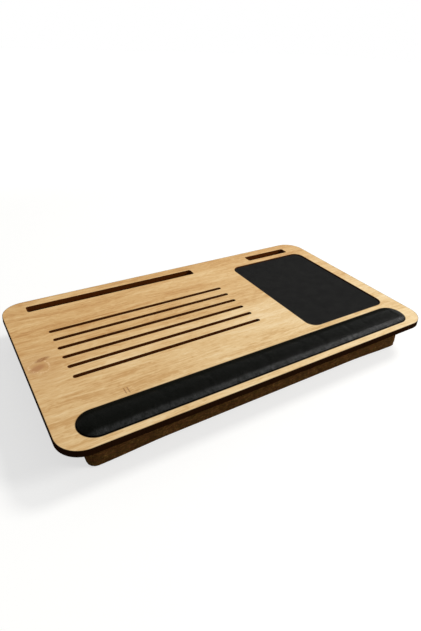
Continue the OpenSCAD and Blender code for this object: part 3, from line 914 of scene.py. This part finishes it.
def zip_coil(plastic):
    """Two rows of nylon coil, each an unbroken helix along its tape's edge."""
    rows = []
    low_y, high_y = TEETH_LOW.y, TEETH_HIGH.y
    mid_y, ry = (low_y + high_y) / 2, (high_y - low_y) / 2 - COIL_WIRE_R
    inner, outer = ZIP_SLIT / 2, TEETH_HIGH.z - ZIP_Z
    mid_z, rz = (inner + outer) / 2, (outer - inner) / 2 - COIL_WIRE_R
    steps = (round((TEETH_HIGH.x - TEETH_LOW.x) / COIL_PITCH) - 1) * COIL_STEPS
    start = TEETH_LOW.x + COIL_WIRE_R
    length = TEETH_HIGH.x - TEETH_LOW.x - 2 * COIL_WIRE_R
    for side in (1, -1):
        path = []
        for k in range(steps + 1):
            turn = 2 * math.pi * k / COIL_STEPS
            squeeze = 0.12 * COIL_PITCH * math.sin(2 * turn) * (0 < k < steps)
            path.append((start + length * k / steps + squeeze, mid_y + ry * math.cos(turn),
                         ZIP_Z + side * (mid_z + rz * math.sin(turn))))
        rows.append(tube(f"coil_{side}", path, COIL_WIRE_R, sides=6))
    return dress(merged("zip_coil_rows", rows), DESK, plastic, "zip_coil", "zip_teeth")


def zip_hems(cloth):
    """Folded hems along the zip's window."""
    hems = []
    face_y = BACK_Y - HEM_SUNK
    for side in (1, -1):
        path = [(x, face_y + 0.06 * MM * noise.noise(Vector((x * 120, side, 0))), ZIP_Z + side * ZIP_WINDOW)
                for x in np.linspace(-ZIP_MOUTH, ZIP_MOUTH, 161)]
        hems.append(tube(f"hem_{side}", path, HEM_R, sides=10))
    for end in (1, -1):
        x = end * (ZIP_MOUTH - 0.2 * MM)
        path = [(x, face_y, ZIP_Z + ZIP_WINDOW * s) for s in np.linspace(-1, 1, 9)]
        hems.append(tube(f"hem_end_{end}", path, HEM_R, sides=10))
    dress(merged("zip_hems", hems), DESK, cloth, "cushion_cloth")


def zip_stitching(thread):
    """Rows of single stitches that hold the tapes behind the hems."""
    high = ZIP_WINDOW + STITCH_OFF
    rows = [((-ZIP_MOUTH, side * high), (ZIP_MOUTH, side * high)) for side in (1, -1)]
    for end in (1, -1):
        for offset in (0, 0.9 * MM):
            x = end * (ZIP_MOUTH + STITCH_OFF + offset)
            rows.append(((x, -high), (x, high)))
    made = []
    for row in rows:
        start, end = (Vector((x, BACK_Y, ZIP_Z + z)) for x, z in row)
        along = (end - start).normalized()
        for k in range(int((end - start).length / STITCH_STEP)):
            left = start + along * (STITCH_STEP * k)
            path = [left + along * (STITCH_L * s) + Vector((0, lift, 0)) for s, lift in STITCH_ARCH]
            made.append(tube(f"stitch_{k}", path, STITCH_R, sides=6))
    dress(merged("zip_stitching", made), DESK, thread, "cushion_cloth")


def softened(name, node, width, body, material):
    """The CAD node's own form with its sharp edges rounded."""
    mesh = NODES[node].data.copy()
    piece = link(name, mesh)
    batch = bmesh.new()
    batch.from_mesh(mesh)
    bmesh.ops.remove_doubles(batch, verts=batch.verts, dist=1e-6)
    bmesh.ops.dissolve_limit(batch, angle_limit=math.radians(1), verts=batch.verts, edges=batch.edges)
    batch.to_mesh(mesh)
    batch.free()
    add_modifier(piece, "BEVEL", width=width, segments=2, limit_method="ANGLE", angle_limit=math.radians(35))
    bake_modifiers(piece)
    shade(piece.data, False)
    return dress(piece, body, material, "zip_metal", node)


# -------------------- wrist rest and mouse pad

REST_MID_X = (REST_LOW.x + REST_HIGH.x) / 2
# Half the straight stretch between the rest's two round ends
SPINE = (REST_HIGH.x - REST_LOW.x) / 2 - REST_HALF
REST_RIM_Z = DECK_Z + 0.8 * MM
REST_ROUND, REST_REACH = 1.1 * MM, 0.5 * MM
REST_SWELL = {"pressure": 2.5, "slack": 0.004, "stiffness": 18.0}
REST_CLOTH_T = 0.5 * MM
# How flat the rest's crown is in the middle, and so how round its shoulders are
REST_FLAT = 2.7
# Lines over the crown, as shares of the way from its rim to its spine, and quads along them
CROWN_SHARES = (0.08, 0.16, 0.26, 0.37, 0.49, 0.61, 0.73, 0.84, 0.93)
END_STEPS, LONG_STEPS = 26, 126


def stadium(half):
    """Closed line a distance half from the rest's spine, counter-clockwise from its front left."""
    line = []
    for side in (1, -1):
        line += [(REST_MID_X - side * (SPINE - 2 * SPINE * k / LONG_STEPS), REST_MID_Y - side * half)
                 for k in range(LONG_STEPS)]
        line += arc(REST_MID_X + side * SPINE, REST_MID_Y, half, -90 * side, 180, END_STEPS, range(END_STEPS))
    return line


def crown(distance):
    """Height of the rest's cover at a distance from its spine."""
    return REST_RIM_Z + (REST_HIGH.z - REST_RIM_Z) * (1 - (distance / REST_HALF) ** REST_FLAT)


def make_wrist_rest(leather):
    """Crowned cover with full round ends, its rim turned down into the well."""
    shoulder = REST_HALF - REST_ROUND * 0.45
    levels = [(REST_HALF - 0.1 * MM, REST_LOW.z), (REST_HALF, REST_LOW.z + 1.5 * MM),
              (REST_HALF, REST_RIM_Z - REST_ROUND * 0.7),
              (REST_HALF - 0.15 * MM, REST_RIM_Z - REST_ROUND * 0.25),
              (shoulder, crown(shoulder) - 0.18 * MM)]
    levels += [(REST_HALF * (1 - s), crown(REST_HALF * (1 - s))) for s in CROWN_SHARES]
    points = [(x, y, z) for distance, z in levels for x, y in stadium(distance)]
    rings = numbered_rings(len(levels), len(points) // len(levels))
    faces = ring_quads(rings)
    # The innermost line is closed along the spine
    inner, turned = rings[-1], 2 * LONG_STEPS + END_STEPS
    ridge = range(len(points), len(points) + LONG_STEPS + 1)
    points += [(REST_MID_X - SPINE + 2 * SPINE * k / LONG_STEPS, REST_MID_Y, crown(0))
               for k in range(LONG_STEPS + 1)]
    for k in range(LONG_STEPS):
        faces += [(inner[k], inner[k + 1], ridge[k + 1], ridge[k]),
                  (ridge[k], ridge[k + 1], inner[turned - k - 1], inner[turned - k])]
    for tip, start in ((ridge[-1], LONG_STEPS), (ridge[0], turned)):
        faces += [(inner[k], inner[(k + 1) % len(inner)], tip) for k in range(start, start + END_STEPS)]
    cover = mesh_piece("wrist_rest_leather", points, faces)
    rest = points_of(cover)
    held = (rest[:, 2] < REST_RIM_Z + 0.2 * MM).astype(float)
    set_points(cover, swollen(cover, rest, held, REST_REACH, **REST_SWELL))
    refine(cover)
    thicken(cover, REST_CLOTH_T)
    dress(cover, DESK, leather, "leatherette", "wrist_rest_cover")


def make_mouse_pad(knit):
    """Cloth face of the mouse pad, its cut edge rounded over."""
    top = PAD_HIGH.z
    levels = ((0.0, PAD_LOW.z), (0.0, top - 0.25 * MM), (0.08 * MM, top - 0.08 * MM), (0.3 * MM, top))
    points, steps = [], 12
    for inset, z in levels:
        r = PAD_CORNER_R - inset
        for sx, sy, start in ((1, -1, 270), (1, 1, 0), (-1, 1, 90), (-1, -1, 180)):
            cx = (PAD_HIGH.x if sx > 0 else PAD_LOW.x) - sx * (inset + r)
            cy = (PAD_HIGH.y if sy > 0 else PAD_LOW.y) - sy * (inset + r)
            points += [(x, y, z) for x, y in arc(cx, cy, r, start, 90, steps, range(steps + 1))]
    rings = numbered_rings(len(levels), len(points) // len(levels))
    pad = mesh_piece("mouse_pad_knit", points, ring_quads(rings) + end_faces(rings))
    for polygon in pad.data.polygons:
        polygon.use_smooth = len(polygon.vertices) == 4
    dress(pad, DESK, knit, "pad_cloth", "mouse_pad_cloth")


# -------------------- stage and light

FLOOR_HALF = 9.0
# A hair's breadth under the cushion, so that the two faces don't coincide
FLOOR_Z = -0.05 * MM
# Lamps: where they stand, how large they are across, how strong, and their colour
LAMPS = {"key": (Vector((4.2, 0.1, 4.4)), 1.6, 208.0, (1.0, 0.985, 0.96)),
         "fill": (Vector((2.1, -1.6, 1.8)), 0.95, 46.0, (1.0, 0.99, 0.975))}
SKY, WHITE = 0.30, (1, 1, 1, 1)
# The floor glows a little for the camera, and fully from some way off, where the lamps no longer reach
FLOOR_GLOW, GLOW_FROM, GLOW_FULL = 0.64, 0.75, 2.2


def seen_directly(tree):
    """1 for rays from the camera, and for those that a gloss or a glass sends on."""
    camera, gloss, glass = (tree.add("LightPath", {}, f"Is {ray} Ray")
                            for ray in ("Camera", "Glossy", "Transmission"))
    return camera.larger(gloss).larger(glass)


def make_stage():
    corners = [(x * FLOOR_HALF, y * FLOOR_HALF, FLOOR_Z) for x, y in ((-1, -1), (1, -1), (1, 1), (-1, 1))]
    floor = mesh_piece("floor", corners, [(0, 1, 2, 3)])
    shader = Finish("pale_floor", Roughness=0.9, Specular_IOR_Level=0.1, Base_Color=paint(172, 172, 170),
                    Emission_Color=WHITE)
    glow = seen_directly(shader) * shader.place.length().span(GLOW_FROM, GLOW_FULL, FLOOR_GLOW, 1.0)
    floor.data.materials.append(shader.set(Emission_Strength=glow))
    world = bpy.data.worlds.new("studio")
    bpy.context.scene.world = world
    sky = Tree(world)
    background = sky.nodes["Background"].inputs
    sky.put(background["Color"], WHITE)
    sky.put(background["Strength"], seen_directly(sky) * (1.0 - SKY) + SKY)


def make_lights():
    for name, (at, size, power, colour) in LAMPS.items():
        data = bpy.data.lights.new(name, "AREA")
        data.shape, data.size, data.energy, data.color = "DISK", size, power, colour
        lamp = link(name, data)
        lamp.location = at
        lamp.rotation_euler = (Vector((0, 0, DECK_Z)) - at).to_track_quat("-Z", "Y").to_euler()


# -------------------- the whole


def paint_nodes(material, *nodes):
    """CAD nodes keep their shapes and get a material."""
    for node in nodes:
        slots = NODES[node].data.materials
        for k in range(len(slots)):
            slots[k] = material
        if not len(slots):
            slots.append(material)


def main():
    place_camera()
    paint_nodes(oak_face(), "top_panel")
    paint_nodes(fibre_board("fibre_board", (142, 106, 72), (112, 80, 52)), "base_panel")
    paint_nodes(fibre_board("backing_board", (150, 118, 84), (120, 92, 64)), "wrist_rest_board")
    paint_nodes(grainy("black_foam_rubber", (30, 30, 30), (17, 17, 17), 0.85, 2200, 0.00012),
                "mouse_pad_base")
    paint_nodes(grainy("charcoal_foam", (54, 52, 50), (36, 35, 34), 0.95, 900, 0.0006), "cushion_foam",
                "wrist_rest_foam")
    paint_nodes(loop_pile("hook_tape", (30, 30, 30), (12, 12, 12), 1100), "hook_strips")
    paint_nodes(loop_pile("loop_tape", (44, 44, 46), (18, 18, 18), 800), "loop_strips")
    cloth = cushion_cloth()
    make_cushion(cloth)
    make_wrist_rest(leatherette())
    make_mouse_pad(pad_cloth())
    zip_tapes(tape_cloth())
    zip_coil(grainy("brown_nylon", (66, 48, 36), (46, 32, 23), 0.42, 1500, 0.00003))
    zip_hems(cloth)
    zip_stitching(grainy("brown_thread", (72, 50, 32), (44, 29, 18), 0.8, 3000, 0.0001))
    metal = dark_metal()
    softened("zip_slider_metal", "zip_slider", 0.16 * MM, SLIDER, metal)
    softened("zip_pull_metal", "zip_pull", 0.14 * MM, PULL, metal)
    softened("zip_stop_metal", "zip_end_stops", 0.18 * MM, DESK, metal)
    make_stage()
    make_lights()
    bpy.context.scene.view_settings.view_transform = "Standard"


main()
